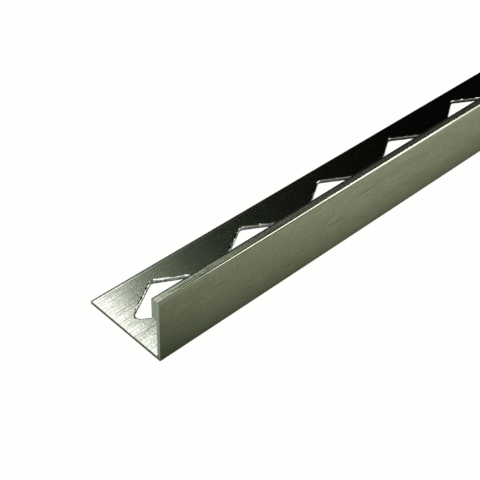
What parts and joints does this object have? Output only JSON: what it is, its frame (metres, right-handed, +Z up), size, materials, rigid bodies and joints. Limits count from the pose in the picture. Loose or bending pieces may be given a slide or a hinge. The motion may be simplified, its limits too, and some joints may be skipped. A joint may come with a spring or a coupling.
{
  "type": "tile edge trim",
  "caption": "Straight aluminium angle that finishes a tile edge: thin punched anchoring leg and an upright face with a thicker flat head, in stock length.",
  "frame": {"origin": "centre of the part's box in plan, on its lowest face: mid length, mid width, on the underside of the anchoring leg", "axes": "+X along the length, away from the end that the picture shows; +Y from the outer trim face towards the leg's free edge; +Z up from the leg to the head"},
  "size_m": [1, 0.021, 0.015],
  "materials": {
    "brushed_aluminium": "lengthwise brushed satin, slightly warm grey"
  },
  "bodies": {
    "root": {"edge_trim": "brushed_aluminium"}
  },
  "joints": []
}
